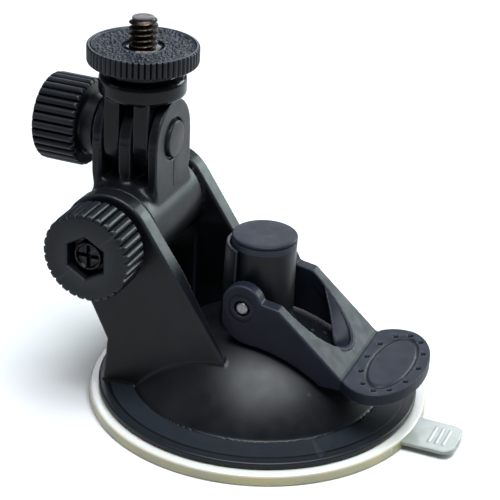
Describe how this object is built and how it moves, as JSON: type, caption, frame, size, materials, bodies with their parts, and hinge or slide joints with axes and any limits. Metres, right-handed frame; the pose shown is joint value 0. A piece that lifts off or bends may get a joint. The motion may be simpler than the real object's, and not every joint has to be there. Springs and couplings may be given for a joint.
{
  "type": "dash camera suction mount",
  "caption": "Windscreen suction mount for a dash camera: lever-locked suction base, two-axis clamped arm and a knurled thumb ring with a threaded camera screw.",
  "frame": {"origin": "centre of the suction face, on the surface that it grips", "axes": "+Z away from the gripped surface, +X towards the lever's thumb paddle and the pull tab, +Y along the lever pin and the lower pivot, away from the lower knob"},
  "size_m": [0.1016, 0.077, 0.0852],
  "materials": {
    "black_plastic": "satin moulded ABS, black",
    "slate_plastic": "satin moulded ABS, blue-black",
    "soft_black": "matt rubber",
    "gel": "translucent polyurethane gel, slightly yellow",
    "clear_film": "clear flexible plastic",
    "steel": "turned, bright",
    "dark_bronze": "blackened, worn to bronze on the edges"
  },
  "bodies": {
    "mount_base": {"suction_pad": "gel", "pull_tab": "clear_film", "cup_membrane": "soft_black", "base_housing": "black_plastic", "release_spring": "steel", "lower_nut": "steel"},
    "plunger": {"plunger": "black_plastic", "plunger_cap": "slate_plastic", "cup_screw": "steel", "lever_pin": "steel"},
    "lever": {"lock_lever": "slate_plastic"},
    "arm": {"arm": "black_plastic", "upper_bolt": "black_plastic", "upper_washer": "steel"},
    "lower_knob": {"lower_knob": "black_plastic", "lower_bolt": "dark_bronze", "lower_washer": "steel"},
    "camera_head": {"camera_head": "black_plastic"},
    "upper_knob": {"upper_knob": "black_plastic", "upper_nut": "steel"},
    "thumb_ring": {"thumb_ring": "black_plastic", "grip_pad": "soft_black", "camera_screw": "dark_bronze", "retaining_clip": "steel"}
  },
  "joints": [
    {"name": "plunger_drop", "type": "slide", "parent": "mount_base", "child": "plunger", "axis": [0, 0, -1], "range_m": [0, 0.0035], "deforming": ["release_spring"]},
    {"name": "lever_swing", "type": "hinge", "parent": "plunger", "child": "lever", "pos_m": [0, 0, 0.0274], "axis": [0, -1, 0], "range_deg": [0, 90]},
    {"name": "arm_tilt", "type": "hinge", "parent": "mount_base", "child": "arm", "pos_m": [-0.0302, 0, 0.0395], "axis": [0, 1, 0], "range_deg": [-80, 45]},
    {"name": "lower_knob_turn", "type": "hinge", "parent": "mount_base", "child": "lower_knob", "pos_m": [-0.0302, -0.018, 0.0395], "axis": [0, -1, 0], "range_deg": [0, 360]},
    {"name": "head_tilt", "type": "hinge", "parent": "arm", "child": "camera_head", "pos_m": [-0.0302, 0, 0.0585], "axis": [1, 0, 0], "range_deg": [-70, 70]},
    {"name": "upper_knob_turn", "type": "hinge", "parent": "arm", "child": "upper_knob", "pos_m": [-0.042, 0, 0.0585], "axis": [-1, 0, 0], "range_deg": [0, 360]},
    {"name": "ring_turn", "type": "hinge", "parent": "camera_head", "child": "thumb_ring", "pos_m": [-0.0302, 0, 0.075], "axis": [0, 0, 1], "continuous": true}
  ],
  "couplings": [
    {"joint": "plunger_drop", "follows": "lever_swing", "m_per_rad": 0.002228}
  ]
}
